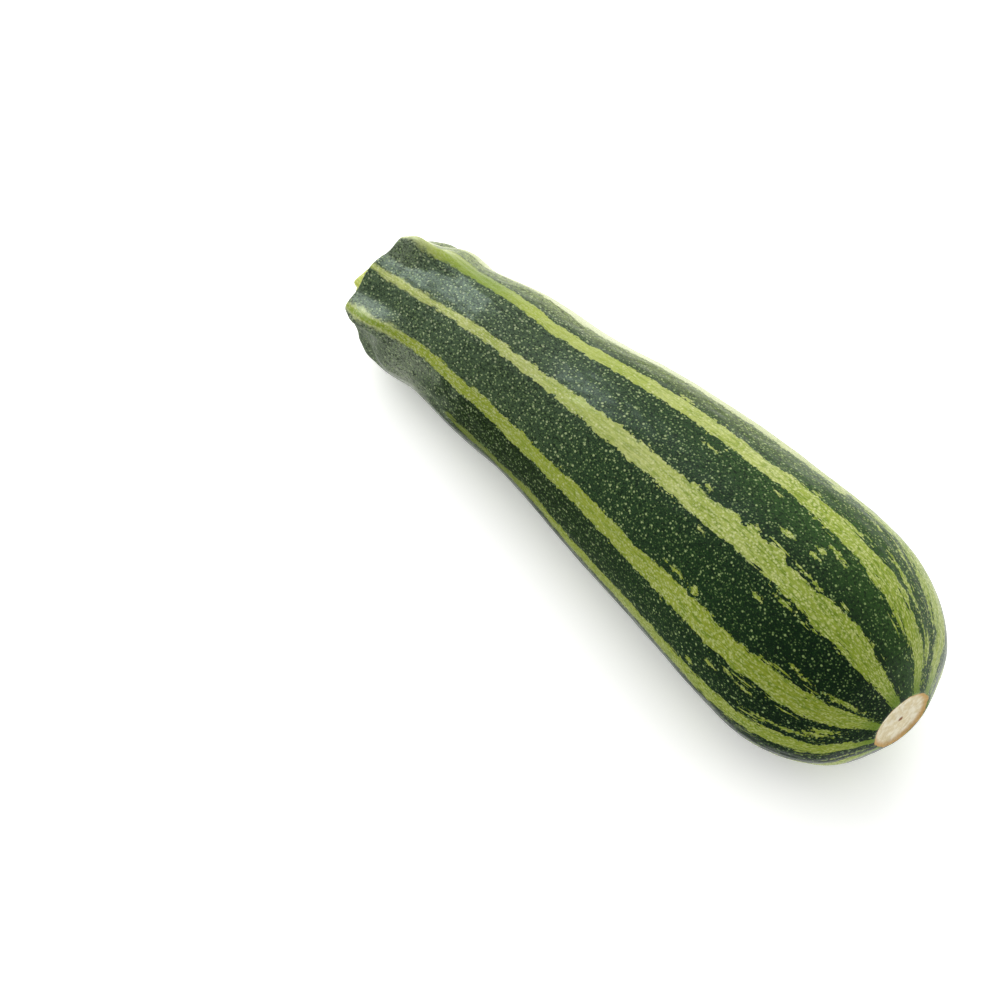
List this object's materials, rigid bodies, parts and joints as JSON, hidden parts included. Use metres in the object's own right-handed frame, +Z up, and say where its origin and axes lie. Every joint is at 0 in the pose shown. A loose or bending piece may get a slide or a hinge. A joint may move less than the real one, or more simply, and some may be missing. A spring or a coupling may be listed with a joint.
{
  "type": "striped zucchini",
  "caption": "Whole striped zucchini lying on its side, with a slim ribbed neck, a wide rounded blossom end and a short stub of ridged stem.",
  "frame": {"origin": "on the surface that the zucchini lies on, below the middle of its bounding box", "axes": "+X from the stem end to the blossom end, +Y to the side it bows towards, +Z up"},
  "size_m": [0.188, 0.0626, 0.0618],
  "materials": {
    "skin": "satin",
    "stem": "matte"
  },
  "bodies": {
    "root": {"fruit": "skin", "stem": "stem"}
  },
  "joints": []
}
